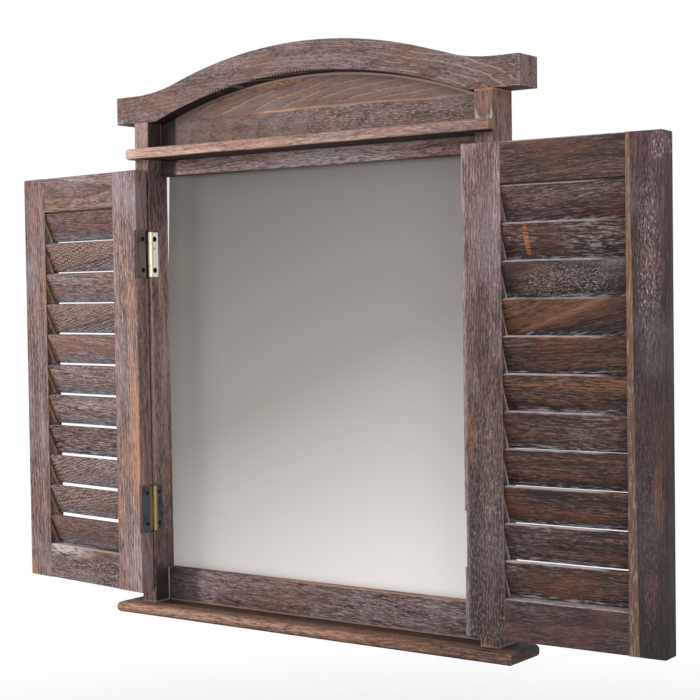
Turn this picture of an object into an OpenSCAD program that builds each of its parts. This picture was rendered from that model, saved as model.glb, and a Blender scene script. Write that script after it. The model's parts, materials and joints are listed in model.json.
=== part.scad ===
// Wall mirror in a timber frame with an arched cap, a ledge, a shelf and two
// louvred shutters, which close between the posts and fold back past them.
// Millimetres: +X is the viewer's right, -Y the front, +Y the wall, +Z up.
// The origin lies on the wall, midway between the two hanging holes.

/* [Frame] */
// Width over both posts
post_span = 375; // [330:1:430]
// Width of a post, seen from the front
post_w = 17; // [16:0.5:24]
// Depth of a post, from the wall to its front
post_d = 30; // [29:0.5:40]
// Height of the glass that shows between the rails
sight_h = 354.5; // [320:0.5:400]
// Height of the bottom rail
bottom_rail_h = 30.5; // [26:0.5:40]
// Height of the rail over the glass
mirror_rail_h = 14.5; // [13.5:0.5:20]
// Thickness of the header panel
panel_t = 10; // [9:0.5:11]
// Height of the header panel at the posts
header_h = 33.5; // [32:0.5:45]
// Length of the tenons that hold the rails in the posts
rail_tenon = 6; // [4:0.5:6.5]
// Depth of the tongue that holds the panel in the posts
panel_tongue = 3.5; // [2:0.5:4]
// Thickness of tongues and tenons in the frame
tongue_t = 5; // [4:0.5:6]
// Wood left over and under the bottom rail's tenons
bottom_tenon_edge = 4.5; // [2:0.5:6]
// Wood left over and under the mirror rail's tenons
mirror_tenon_edge = 1; // [0.5:0.5:2]
// Rounding of the long edges
arris = 1.5; // [0.5:0.1:2]

/* [Cap] */
// How far the cap reaches past each post
cap_over = 22.5; // [10:0.5:30]
// How far the cap's front lies behind the posts' front
cap_back = 2; // [0:0.5:4]
// Height of the cap at its square ends
cap_end_h = 24.5; // [20:0.5:30]
// Level length at each end, before the top sweeps up
cap_flat = 21; // [10:1:30]
// Rise of the arched top over the ends
arch_rise = 30.5; // [20:0.5:40]
// Share of the sweep that belongs to the crown
crown_share = 0.73; // [0.6:0.01:0.85]
// Rise of the arch under the cap
soffit_rise = 29.5; // [20:0.5:32]
// Level underside of the cap inside each post
soffit_shoulder = 7.5; // [4:0.5:12]
// Radius of the dowels that pin the cap to the posts
dowel_r = 4; // [3:0.5:5]
// Depth of a dowel in each of its two pieces
dowel_half = 14; // [10:0.5:16]

/* [Ledge and shelf] */
// Thickness of the ledge under the panel
ledge_t = 10; // [8:0.5:12]
// How far the ledge stands out from the posts
ledge_proud = 9.5; // [6:0.5:14]
// How far the ledge reaches past each post
ledge_over = 1.5; // [0:0.5:4]
// Thickness of the shelf
shelf_t = 9.5; // [8.5:0.5:14]
// How far the shelf stands out from the posts
shelf_proud = 13.5; // [8:0.5:25]
// How far the shelf reaches past each post
shelf_over = 19; // [10:0.5:30]
// Radius of the ledge's rounded edges
ledge_nosing_r = 2.8; // [1.5:0.1:4]
// Radius of the shelf's rounded edges
shelf_nosing_r = 4; // [2:0.5:4]

/* [Mirror] */
// Thickness of the glass
glass_t = 3; // [2:0.5:4]
// Thickness of the board behind the glass
board_t = 2; // [1.5:0.5:2.5]
// Width of the rabbet that the glass lies in
rabbet_w = 6; // [5:0.5:7]
// Play of glass and board inside the rabbet
glass_play = 0.8; // [0.5:0.1:1.5]
// Thickness of the steel tabs that hold the board
tab_t = 0.5; // [0.4:0.1:0.8]
// Width of a tab
tab_w = 8; // [6:0.5:12]
// How far a tab reaches over the board
tab_reach = 7; // [5:0.5:10]
// How far a tab is driven into the wood
tab_bite = 4; // [3:0.5:5]
// How far the tabs lie below the back of the frame
tab_sink = 0.3; // [0.2:0.1:0.6]

/* [Shutters] */
// Thickness of a shutter
shutter_t = 15; // [14:0.5:18]
// Width of the stiles
stile_w = 32.5; // [26:0.5:40]
// How much wider the right hinge stile is, and its outer stile narrower
right_shift = 2.2; // [-3:0.1:3]
// Height of the shutters' rails
shutter_rail_h = 32; // [26:0.5:45]
// Length of the tenons on the shutters' rails
stile_tenon = 18; // [10:1:22]
// Thickness of those tenons
stile_tenon_t = 5; // [4:0.5:6]
// Gap between the closed shutters
centre_gap = 2; // [1.5:0.1:4]
// Gap over the shutters, under the ledge
head_gap = 10; // [2:0.5:14]
// Gap under the shutters, over the shelf
foot_gap = 11.5; // [2:0.5:15]
// Gap behind a closed shutter, before the rails
rest_gap = 1.5; // [1:0.1:4]
// How far the left shutter stands open in the rest pose, in degrees
open_left = 187.5; // [90:0.5:188]
// How far the right shutter stands open in the rest pose, in degrees
open_right = 181; // [90:0.5:188]
// Rounding of the shutters' outer corners
corner_r = 2.5; // [2:0.5:6]

/* [Louvres] */
// Number of slats in a shutter
slat_count = 11;
// Thickness of a slat
slat_t = 3.5; // [3:0.1:4]
// Lean of the left shutter's slats from upright, in degrees
left_lean = 22.2; // [18:0.1:28]
// Lean of the right shutter's slats, which overlap more
right_lean = 20.9; // [18:0.1:28]
// How far the slats' edges stay inside the faces of a shutter
slat_inset = 0.5; // [0.3:0.1:1.5]
// Gap between the end slats and the rails
end_play = 0.3; // [0.1:0.1:1]
// How deep the slats' ends sit in the stiles
housing = 3; // [2:0.5:6]
// Width of the crack between a slat and its housing
crack = 0.8; // [0.2:0.1:1.2]
// Width of the shallow step beside that crack
step_w = 3; // [0.5:0.1:3.5]
// Depth of that step
step_d = 0.6; // [0.5:0.1:1.8]
// Rounding of a slat's long edges
slat_arris = 0.5; // [0.3:0.1:1]

/* [Hinges] */
// Height of a hinge
hinge_h = 40; // [30:1:60]
// Width of a leaf on a post, from the pin's centre
post_leaf_w = 11; // [9:0.5:13]
// Width of a leaf on a shutter, from the pin's centre
shutter_leaf_w = 13.5; // [10:0.5:14]
// Thickness of a leaf
leaf_t = 1; // [0.8:0.1:1]
// Outer radius of the knuckles
knuckle_r = 2; // [2:0.1:2.6]
// Height of each end knuckle
end_knuckle = 10; // [6:0.5:12]
// Gap between two knuckles
knuckle_gap = 0.3; // [0.2:0.1:0.6]
// Radius of the pin
pin_r = 0.95; // [0.8:0.05:0.95]
// How far the pin's centre stands out from the faces
pin_proud = 1.6; // [1.4:0.1:2.4]
// Hinge centre, from the shutter's top or bottom
hinge_inset = 75; // [40:1:110]
// Play above and below a leaf in its notch
notch_play = 1.75; // [0.5:0.05:3]

/* [Screws] */
// Radius of the hinge screws' heads
hinge_head_r = 2.5; // [2:0.1:2.8]
// Radius of the hinge screws' shanks
hinge_shank_r = 1.2; // [0.9:0.1:1.5]
// Length of the hinge screws
hinge_screw_len = 12; // [8:0.5:13]
// Distance of a hinge screw from the leaf's end
hinge_screw_inset = 6; // [4:0.5:9]
// Radius of the heads of the screws in shelf and ledge
board_head_r = 3.5; // [3:0.1:4]
// Radius of the shanks of the screws in shelf and ledge
board_shank_r = 1.75; // [1.4:0.05:2]
// Length of the screws in the shelf
shelf_screw_len = 32; // [22:1:38]
// Length of the screws that hold the ledge
ledge_screw_len = 28; // [18:1:32]

/* [Hanging plates] */
// Width of a keyhole plate
plate_w = 13; // [11:0.5:14]
// Height of a keyhole plate
plate_h = 34; // [32:0.5:36]
// Thickness of a keyhole plate
plate_t = 1.2; // [1:0.1:1.5]
// Radius of the hole that a wall screw's head enters
key_r = 4.5; // [3.5:0.1:4.5]
// Half the width of the slot over that hole
key_slot_r = 2.2; // [1.6:0.1:2.2]
// How far the slot rises from the hole's centre
key_rise = 9; // [7:0.5:10]
// Depth of the pocket for the screw's head
pocket_d = 7; // [5:0.5:8]
// Distance of the plate's screws from its ends
plate_screw_inset = 3; // [2.5:0.1:4]
// Height of the hanging holes over the rail that holds the glass
hang_rise = 5; // [5:0.5:6]
// Length of the plates' screws
plate_screw_len = 9; // [6:0.5:10]
// Radius of the plates' screw heads
plate_head_r = 2; // [1.8:0.1:2.4]
// Radius of the plates' screw shanks
plate_shank_r = 1; // [0.8:0.1:1.2]

/* [Fits] */
// Radial play of a knuckle that turns on its pin
running_fit = 0.05; // [0.01:0.01:0.1]
// Play of a piece that is set fast in another
set_fit = 0.02; // [0.01:0.01:0.05]

/* [Hidden] */
$fn = 48;
SIDES = [-1, 1];
ENDS = [-1, 1];
EPS = 0.01;
OVERCUT = 1;

// Plan, from the centre and from the wall
half_span = post_span / 2;
half_open = half_span - post_w;
post_x = half_span - post_w / 2;
setback = shutter_t + rest_gap;
rail_front = setback - post_d;
rabbet_d = glass_t + board_t + tab_t + tab_sink;
panel_back = rail_front + panel_t;
tongue_y = (rail_front - rabbet_d) / 2;
half_cap = half_span + cap_over;
cap_d = post_d - cap_back;

// Heights over the shelf's underside
rail_z = shelf_t;
sight_z = rail_z + bottom_rail_h;
mirror_rail_z = sight_z + sight_h;
ledge_z = mirror_rail_z + mirror_rail_h;
cap_z = ledge_z + header_h;
shutter_z = shelf_t + foot_gap;
shutter_top = ledge_z - head_gap;
shutter_h = shutter_top - shutter_z;
hang_z = ledge_z + hang_rise;
post_h = cap_z - shelf_t;

// The cap's sweep: a convex crown that turns into a concave flank. The flank's
// radius is a little over the one at which the two would just touch, so that
// they cross at about a degree and meet in a clean edge
ARC_STEP = 0.05;
CROSSING = 0.4;
arch_reach = half_cap - cap_flat;
sweep_r = (arch_reach ^ 2 + arch_rise ^ 2) / (2 * arch_rise);
crown_r = round(sweep_r * crown_share / ARC_STEP) * ARC_STEP;
flank_r = round((sweep_r - crown_r) / ARC_STEP) * ARC_STEP + CROSSING;
sweep_angle = 2 * atan(arch_rise / arch_reach);
turn_x = crown_r * sin(sweep_angle);
crown_z = cap_end_h + arch_rise;
half_soffit = half_open - soffit_shoulder;
soffit_r = (half_soffit ^ 2 + soffit_rise ^ 2) / (2 * soffit_rise);

// Shutters, in a frame of their own: the pin is the origin, the closed
// shutter runs along +X and its outer face looks to -Y
pin_x = half_open - knuckle_r;
pin_y = -post_d - pin_proud;
shutter_w = pin_x - centre_gap / 2;
face_y = pin_proud;
mid_y = face_y + shutter_t / 2;
louvre_h = shutter_h - 2 * shutter_rail_h;
louvre_w = shutter_w - 2 * stile_w;
slat_depth = shutter_t - 2 * slat_inset;
hinge_zs = [shutter_z + hinge_inset, shutter_top - hinge_inset];
leaf_screw_z = hinge_h / 2 - hinge_screw_inset;
knuckle_clear = knuckle_r + knuckle_gap;

// Places of screws and tabs
shelf_screw_y = -post_d * 2 / 3;
rail_screw_x = half_open / 2;
rail_screw_y = rail_front / 2;
ledge_screw_x = half_open * 0.7;
plate_mid = hang_rise - key_r + plate_h / 2 - 2 * plate_screw_inset;
tab_zs = [sight_z + sight_h / 8, sight_z + sight_h / 2, sight_z + sight_h * 7 / 8];
tab_x = half_open / 2;

function two(i) = str(i < 10 ? "0" : "", i);
SLATS = [for (i = [1:slat_count]) two(i)];

WOOD = "#6b5a53";
DARK_WOOD = "#54443e";
PALE_WOOD = "#a48a78";
BRASS = "#8f8468";
STEEL = "#a9abad";

// ---- places ----

// Heights are drawn over the shelf's underside and land in the part's frame
module hung() translate([0, 0, -hang_z]) children();

// One copy on each side of the centre line
module both_sides() for (side = SIDES) scale([side, 1, 1]) children();

// A post piece, drawn for the right side
module on_side(side) mirror([side < 0 ? 1 : 0, 0, 0]) children();

// A shutter piece, drawn closed on the left side, swung open and hung on its pin
module on_shutter(side) {
    opened = side < 0 ? open_left : open_right;
    mirror([side < 0 ? 0 : 1, 0, 0])
        translate([-pin_x, pin_y, 0]) rotate([0, 0, -opened]) children();
}

// ---- outlines and stock ----

module rounded(w, h, r) {
    translate([r, 0]) square([w - 2 * r, h]);
    translate([0, r]) square([w, h - 2 * r]);
    for (x = [r, w - r], y = [r, h - r]) translate([x, y]) circle(r);
}

// Upright stock with rounded long edges, its corner at the origin
module upright(w, d, h, r = arris) linear_extrude(h) rounded(w, d, r);

// Level stock along X, from -length/2 to length/2
module level(length, d, h, r = arris)
    translate([-length / 2, 0, 0]) rotate([90, 0, 90]) linear_extrude(length) rounded(d, h, r);

// A board whose edges are rounded by r all round except at its back
module nosed(length, d, t, r) {
    intersection() {
        translate([-length / 2, 0, 0]) rotate([90, 0, 90]) linear_extrude(length) {
            rounded(d, t, r);
            translate([r, 0]) square([d - r, t]);
        }
        translate([-length / 2, d, 0]) rotate([90, 0, 0]) linear_extrude(d)
            rounded(length, t, r);
    }
}

// Countersunk screw with its head at the origin, driven along -Z
module screw_form(len, shank_r, head_r, play = 0) {
    flare = head_r - shank_r;
    rotate_extrude() polygon([
        [0, 0], [head_r + play, 0], [shank_r + play, -flare - play],
        [shank_r + play, -len + 2 * shank_r], [0, -len - play]
    ]);
}

module wood_screw(len, shank_r, head_r) screw_form(len, shank_r, head_r);

module screw_hole(len, shank_r, head_r) {
    screw_form(len, shank_r, head_r, set_fit);
    cylinder(h = OVERCUT, r = head_r + set_fit);
}

// ---- frame: shared cuts ----

module rabbet() {
    low = sight_z - rabbet_w;
    translate([-half_open - rabbet_w, -rabbet_d, low])
        cube([2 * (half_open + rabbet_w), rabbet_d + OVERCUT, sight_h + 2 * rabbet_w]);
}

module rail_tenon_form(h, z, play = 0) {
    both_sides() translate([half_open - EPS, tongue_y - tongue_t / 2 - play, z - play])
        cube([rail_tenon + EPS + play, tongue_t + 2 * play, h + 2 * play]);
}

module bottom_tenons(play = 0) rail_tenon_form(
    bottom_rail_h - rabbet_w - 2 * bottom_tenon_edge, rail_z + bottom_tenon_edge, play);

module mirror_tenons(play = 0) {
    h = mirror_rail_h - rabbet_w - 2 * mirror_tenon_edge;
    rail_tenon_form(h, ledge_z - h - mirror_tenon_edge, play);
}

module panel_tongues(play = 0) {
    reach = half_open + panel_tongue + play;
    translate([-reach, tongue_y - tongue_t / 2 - play, ledge_z])
        cube([2 * reach, tongue_t + 2 * play, header_h]);
}

module tab_form(play = 0)
    translate([-tab_w / 2 - play, -tab_reach, -tab_t / 2 - play])
        cube([tab_w + 2 * play, tab_reach + tab_bite + play, tab_t + 2 * play]);

// Tabs lie against the board, each with its bite in post or rail
module tabs(play = 0) {
    tab_y = -tab_sink - tab_t / 2;
    bite = half_open + rabbet_w;
    both_sides() for (z = tab_zs) translate([bite, tab_y, z])
        rotate([0, -90, -90]) tab_form(play);
    for (x = [-tab_x, tab_x]) {
        translate([x, tab_y, mirror_rail_z + rabbet_w]) rotate([90, 0, 0]) tab_form(play);
        translate([x, tab_y, sight_z - rabbet_w]) rotate([-90, 0, 0]) tab_form(play);
    }
}

module dowels(play = 0) both_sides()
    translate([post_x, -post_d / 2, cap_z - dowel_half - play])
        cylinder(h = 2 * (dowel_half + play), r = dowel_r + play);

module each_shelf_screw() {
    for (x = [-post_x, post_x]) translate([x, shelf_screw_y, 0]) rotate([180, 0, 0]) children();
    for (x = [-rail_screw_x, rail_screw_x])
        translate([x, rail_screw_y, 0]) rotate([180, 0, 0]) children();
}

module each_ledge_screw() for (x = [-ledge_screw_x, 0, ledge_screw_x])
    translate([x, panel_back, ledge_z + ledge_t / 2]) rotate([-90, 0, 0]) children();

module each_plate_screw() for (end = ENDS)
    translate([0, 0, end * (plate_h / 2 - plate_screw_inset)]) rotate([-90, 0, 0]) children();

// On the post, seen in the frame of the post's own hinge pin
module each_post_leaf_screw() for (z = hinge_zs, end = ENDS)
    translate([half_open - leaf_t, pin_y + leaf_screw_y(true), z + end * leaf_screw_z])
        rotate([0, -90, 0]) children();

module each_leaf_screw() for (z = hinge_zs, end = ENDS)
    translate([knuckle_r - leaf_t, leaf_screw_y(false), z + end * leaf_screw_z])
        rotate([0, -90, 0]) children();

// ---- frame: pieces ----

module keyhole() {
    circle(key_r);
    translate([-key_slot_r, 0]) square([2 * key_slot_r, key_rise]);
    translate([0, key_rise]) circle(key_slot_r);
}

// Sunk in the back of a post, its face flush with the wood
module plate_place() translate([post_x, 0, ledge_z + plate_mid]) children();

module hanging_plate() difference() {
    translate([-plate_w / 2, 0, -plate_h / 2]) rotate([90, 0, 0])
        linear_extrude(plate_t) rounded(plate_w, plate_h, plate_w / 6);
    translate([0, OVERCUT, hang_rise - plate_mid]) rotate([90, 0, 0])
        linear_extrude(plate_t + 2 * OVERCUT) keyhole();
    each_plate_screw() screw_hole(plate_screw_len, plate_shank_r, plate_head_r);
}

module plate_pocket() {
    translate([-plate_w / 2 - set_fit, -plate_t, -plate_h / 2 - set_fit])
        cube([plate_w + 2 * set_fit, plate_t + OVERCUT, plate_h + 2 * set_fit]);
    translate([0, OVERCUT, hang_rise - plate_mid]) rotate([90, 0, 0])
        linear_extrude(pocket_d + OVERCUT) {
            circle(key_r);
            translate([-key_r, 0]) square([2 * key_r, key_rise]);
            translate([0, key_rise]) circle(key_r);
        }
    each_plate_screw() screw_hole(plate_screw_len, plate_shank_r, plate_head_r);
}

module post(side) color(WOOD) hung() difference() {
    on_side(side) difference() {
        translate([half_open, -post_d, shelf_t]) upright(post_w, post_d, post_h);
        plate_place() plate_pocket();
        each_post_leaf_screw() screw_hole(hinge_screw_len, hinge_shank_r, hinge_head_r);
    }
    rabbet();
    bottom_tenons(set_fit);
    mirror_tenons(set_fit);
    panel_tongues(set_fit);
    tabs(set_fit);
    dowels(set_fit);
    each_shelf_screw() screw_hole(shelf_screw_len, board_shank_r, board_head_r);
}

// The circle of the arch under the cap, over the cap's underside
module soffit_circle() translate([0, soffit_rise - soffit_r]) circle(soffit_r, $fn = 360);

// What is cut from a block to leave the sweep: over the crown, the flanks and the ends
module over_sweep() {
    top = crown_z + OVERCUT;
    difference() {
        translate([-turn_x, cap_end_h]) square([2 * turn_x, top - cap_end_h]);
        translate([0, crown_z - crown_r]) circle(crown_r, $fn = 360);
    }
    for (side = SIDES) mirror([side < 0 ? 1 : 0, 0]) {
        intersection() {
            square([arch_reach, top]);
            translate([arch_reach, cap_end_h + flank_r]) circle(flank_r, $fn = 360);
        }
        translate([arch_reach, cap_end_h]) square([cap_flat + OVERCUT, top - cap_end_h]);
    }
}

module cap_outline() difference() {
    translate([-half_cap, 0]) square([2 * half_cap, crown_z]);
    over_sweep();
    soffit_circle();
}

module cap() color(WOOD) hung() difference() {
    translate([0, 0, cap_z]) rotate([90, 0, 0]) linear_extrude(cap_d) cap_outline();
    dowels(set_fit);
}

module header_panel() color(WOOD) hung() difference() {
    union() {
        translate([0, panel_back, ledge_z]) rotate([90, 0, 0]) linear_extrude(panel_t) {
            translate([-half_open, 0]) square([2 * half_open, header_h]);
            intersection() {
                translate([-half_open, 0]) square([2 * half_open, header_h + soffit_rise]);
                translate([0, header_h]) soffit_circle();
            }
        }
        panel_tongues();
    }
    each_ledge_screw() screw_hole(ledge_screw_len, board_shank_r, board_head_r);
}

module ledge() color(PALE_WOOD) hung() difference() {
    translate([0, -post_d - ledge_proud, ledge_z])
        nosed(2 * (half_span + ledge_over), ledge_proud + setback, ledge_t, ledge_nosing_r);
    both_sides() translate([half_open, -post_d, ledge_z - OVERCUT])
        cube([post_w + ledge_over + OVERCUT, setback + OVERCUT, ledge_t + 2 * OVERCUT]);
    each_ledge_screw() screw_hole(ledge_screw_len, board_shank_r, board_head_r);
}

module mirror_rail() color(DARK_WOOD) hung() difference() {
    union() {
        translate([0, rail_front, mirror_rail_z]) level(2 * half_open, -rail_front, mirror_rail_h);
        mirror_tenons();
    }
    rabbet();
    tabs(set_fit);
}

module bottom_rail() color(DARK_WOOD) hung() difference() {
    union() {
        translate([0, rail_front, rail_z]) level(2 * half_open, -rail_front, bottom_rail_h);
        bottom_tenons();
    }
    rabbet();
    tabs(set_fit);
    each_shelf_screw() screw_hole(shelf_screw_len, board_shank_r, board_head_r);
}

module shelf() color(WOOD) hung() difference() {
    translate([0, -post_d - shelf_proud, 0])
        nosed(2 * (half_span + shelf_over), post_d + shelf_proud, shelf_t, shelf_nosing_r);
    each_shelf_screw() screw_hole(shelf_screw_len, board_shank_r, board_head_r);
}

// A sheet in the rabbet: its front lies at the given depth
module sheet(front, t) {
    w = 2 * (half_open + rabbet_w - glass_play);
    h = sight_h + 2 * (rabbet_w - glass_play);
    translate([-w / 2, front, sight_z - rabbet_w + glass_play]) cube([w, t, h]);
}

module mirror_glass() color("#c9ccce") hung() sheet(-rabbet_d, glass_t);

module back_board() color("#7a5c40") hung() sheet(glass_t - rabbet_d, board_t);

module back_tabs() color(STEEL) hung() tabs();

module cap_dowels() color("#c8a878") hung() dowels();

module ledge_screws() color(STEEL) hung() each_ledge_screw()
    wood_screw(ledge_screw_len, board_shank_r, board_head_r);

module shelf_screws() color(STEEL) hung() each_shelf_screw()
    wood_screw(shelf_screw_len, board_shank_r, board_head_r);

module hanging_plates() color(STEEL) hung() both_sides() plate_place() hanging_plate();

module hanging_plate_screws() color(STEEL) hung() both_sides() plate_place()
    each_plate_screw() wood_screw(plate_screw_len, plate_shank_r, plate_head_r);

// ---- hinges, in the frame of the pin: the leaf lies along +Y ----

// Outer = true is a post's leaf, with the two end knuckles
function leaf_w(outer) = outer ? post_leaf_w : shutter_leaf_w;
function leaf_screw_y(outer) = (knuckle_clear + leaf_w(outer)) / 2;

// Leaf on the -X side
module leaf(outer) difference() {
    half_mid = hinge_h / 2 - end_knuckle;
    union() {
        translate([-knuckle_r, knuckle_clear, -hinge_h / 2])
            cube([leaf_t, leaf_w(outer) - knuckle_clear, hinge_h]);
        if (outer) {
            for (z = [-hinge_h / 2, half_mid]) knuckle(z, end_knuckle);
        } else {
            knuckle(knuckle_gap - half_mid, 2 * (half_mid - knuckle_gap));
        }
    }
    translate([0, 0, -hinge_h]) cylinder(h = 2 * hinge_h, r = pin_r + (outer ? set_fit : running_fit));
    for (end = ENDS) translate([leaf_t - knuckle_r, leaf_screw_y(outer), end * leaf_screw_z])
        rotate([0, 90, 0]) screw_hole(hinge_screw_len, hinge_shank_r, hinge_head_r);
}

module knuckle(z, h) translate([0, 0, z]) {
    cylinder(h = h, r = knuckle_r);
    translate([-knuckle_r, 0, 0]) cube([leaf_t, knuckle_clear, h]);
}

module post_leaf(side, z) color(BRASS) hung()
    mirror([side < 0 ? 0 : 1, 0, 0]) translate([-pin_x, pin_y, z]) leaf(true);

module hinge_pins() color(BRASS) hung() both_sides() for (z = hinge_zs)
    translate([pin_x, pin_y, z - hinge_h / 2]) cylinder(h = hinge_h, r = pin_r);

module post_leaf_screws() color(BRASS) hung() both_sides() each_post_leaf_screw()
    wood_screw(hinge_screw_len, hinge_shank_r, hinge_head_r);

// ---- shutters, drawn closed on the left pin ----

module shutter_tenons(x, towards, play = 0) {
    inset = shutter_rail_h / 6;
    tenon_h = shutter_rail_h - 2 * inset;
    for (z = [shutter_z, shutter_top - shutter_rail_h])
        translate([towards > 0 ? x - EPS : x - stile_tenon - play,
            mid_y - stile_tenon_t / 2 - play, z + inset - play])
            cube([stile_tenon + EPS + play, stile_tenon_t + 2 * play, tenon_h + 2 * play]);
}

// A slat reaches from face to face of its shutter, so its lean sets its width
// and height, and with them the pitch
function lean(side) = side < 0 ? left_lean : right_lean;
function slat_w(side) = (slat_depth - slat_t * cos(lean(side))) / sin(lean(side));
function slat_h(side) = slat_w(side) * cos(lean(side)) + slat_t * sin(lean(side));
function pitch(side) = (louvre_h - 2 * end_play - slat_h(side)) / (slat_count - 1);
function slat_z(side, i) = shutter_z + shutter_rail_h + end_play + slat_h(side) / 2 + (i - 1) * pitch(side);

// Slat section in the YZ plane: the top edge leans to +Y
module slat_section(side) rotate([0, 0, -lean(side)])
    translate([-slat_t / 2, -slat_w(side) / 2]) rounded(slat_t, slat_w(side), slat_arris);

// Section of a housing that is this much wider than its slat, on the +Y side.
// It opens through neither face of the stile
module housing_section(side, wider) intersection() {
    w = slat_w(side);
    h = slat_h(side);
    rotate([0, 0, -lean(side)]) translate([-slat_t / 2 - set_fit, -w / 2 - set_fit])
        square([slat_t + wider + 2 * set_fit, w + 2 * set_fit]);
    translate([-slat_depth / 2 - set_fit, -h / 2 - set_fit])
        square([slat_depth + 2 * set_fit, h + 2 * set_fit]);
}

module run_x(x, length) translate([x, mid_y, 0]) rotate([90, 0, 90]) linear_extrude(length) children();

// Cut in a stile from its inner edge at x, towards -X or +X: a slot with a
// crack beside the slat, and a shallow step beside the crack
module housings(side, x, towards) for (i = [1:slat_count]) translate([0, 0, slat_z(side, i)]) {
    run_x(towards > 0 ? x - EPS : x - housing, housing + EPS) housing_section(side, crack);
    run_x(towards > 0 ? x - EPS : x - step_d, step_d + EPS) housing_section(side, crack + step_w);
}

module hinge_notch(z) translate([-OVERCUT, face_y - OVERCUT, z - hinge_h / 2 - notch_play])
    cube([knuckle_r + OVERCUT, shutter_t + 2 * OVERCUT, hinge_h + 2 * notch_play]);

// Stile from x = 0, with rounded edges there and square ones where the rails join
module stile_stock(w) translate([0, face_y, shutter_z]) linear_extrude(shutter_h) {
    rounded(w, shutter_t, arris);
    translate([arris, 0]) square([w - arris, shutter_t]);
}

// Where the louvres begin: the width of the hinge stile
function louvre_x(side) = stile_w + (side > 0 ? right_shift : 0);

module hinge_stile(side) color(WOOD) hung() on_shutter(side) difference() {
    stile_stock(louvre_x(side));
    for (z = hinge_zs) hinge_notch(z);
    shutter_tenons(louvre_x(side), -1, set_fit);
    housings(side, louvre_x(side), -1);
    each_leaf_screw() screw_hole(hinge_screw_len, hinge_shank_r, hinge_head_r);
}

module outer_stile(side) color(WOOD) hung() on_shutter(side) {
    x = louvre_x(side) + louvre_w;
    difference() {
        intersection() {
            translate([shutter_w, 0, 0]) mirror([1, 0, 0]) stile_stock(shutter_w - x);
            translate([0, face_y + shutter_t, shutter_z]) rotate([90, 0, 0])
                linear_extrude(shutter_t) rounded(shutter_w, shutter_h, corner_r);
        }
        shutter_tenons(x, 1, set_fit);
        housings(side, x, 1);
    }
}

module shutter_rail(side, z) color(WOOD) hung() on_shutter(side) {
    x = louvre_x(side);
    translate([x + louvre_w / 2, face_y, z]) level(louvre_w, shutter_t, shutter_rail_h);
    intersection() {
        union() {
            shutter_tenons(x, -1);
            shutter_tenons(x + louvre_w, 1);
        }
        translate([0, 0, z]) cube([shutter_w, shutter_t + face_y, shutter_rail_h]);
    }
}

module slat(side, i) color(DARK_WOOD) hung() on_shutter(side)
    translate([0, 0, slat_z(side, i)])
        run_x(louvre_x(side) - housing + set_fit, louvre_w + 2 * (housing - set_fit)) slat_section(side);

module shutter_leaf(side, z) color(BRASS) hung() on_shutter(side)
    translate([0, 0, z]) mirror([1, 0, 0]) leaf(false);

module leaf_screws(side) color(BRASS) hung() on_shutter(side) each_leaf_screw()
    wood_screw(hinge_screw_len, hinge_shank_r, hinge_head_r);

// ---- one line per node ----

post(-1);  // post_left
post(1);  // post_right
cap();
header_panel();
ledge();
mirror_rail();
bottom_rail();
shelf();
mirror_glass();
back_board();
back_tabs();
cap_dowels();
ledge_screws();
shelf_screws();
hanging_plates();
hanging_plate_screws();
hinge_pins();
post_leaf_screws();
post_leaf(-1, hinge_zs[0]);  // left_lower_post_leaf
post_leaf(-1, hinge_zs[1]);  // left_upper_post_leaf
post_leaf(1, hinge_zs[0]);  // right_lower_post_leaf
post_leaf(1, hinge_zs[1]);  // right_upper_post_leaf
hinge_stile(-1);  // left_hinge_stile
outer_stile(-1);  // left_outer_stile
shutter_rail(-1, shutter_top - shutter_rail_h);  // left_top_rail
shutter_rail(-1, shutter_z);  // left_bottom_rail
shutter_leaf(-1, hinge_zs[0]);  // left_lower_leaf
shutter_leaf(-1, hinge_zs[1]);  // left_upper_leaf
leaf_screws(-1);  // left_leaf_screws
hinge_stile(1);  // right_hinge_stile
outer_stile(1);  // right_outer_stile
shutter_rail(1, shutter_top - shutter_rail_h);  // right_top_rail
shutter_rail(1, shutter_z);  // right_bottom_rail
shutter_leaf(1, hinge_zs[0]);  // right_lower_leaf
shutter_leaf(1, hinge_zs[1]);  // right_upper_leaf
leaf_screws(1);  // right_leaf_screws
for (i = [1:slat_count]) {
    slat(-1, i);
    slat(1, i);
}
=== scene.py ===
# %% [markdown]
# # A shutter mirror, dressed for its picture
# The real thing is a wall mirror in a weathered timber frame, with two louvred
# shutters folded back. Its solids are already made to size and arrive as a
# frame of named pieces, so this lesson only gives them their looks. It first
# loads the frame.

# %% Load the frame
import json
import math

import bmesh
import bpy
import numpy as np
from mathutils import Matrix, Vector


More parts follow.
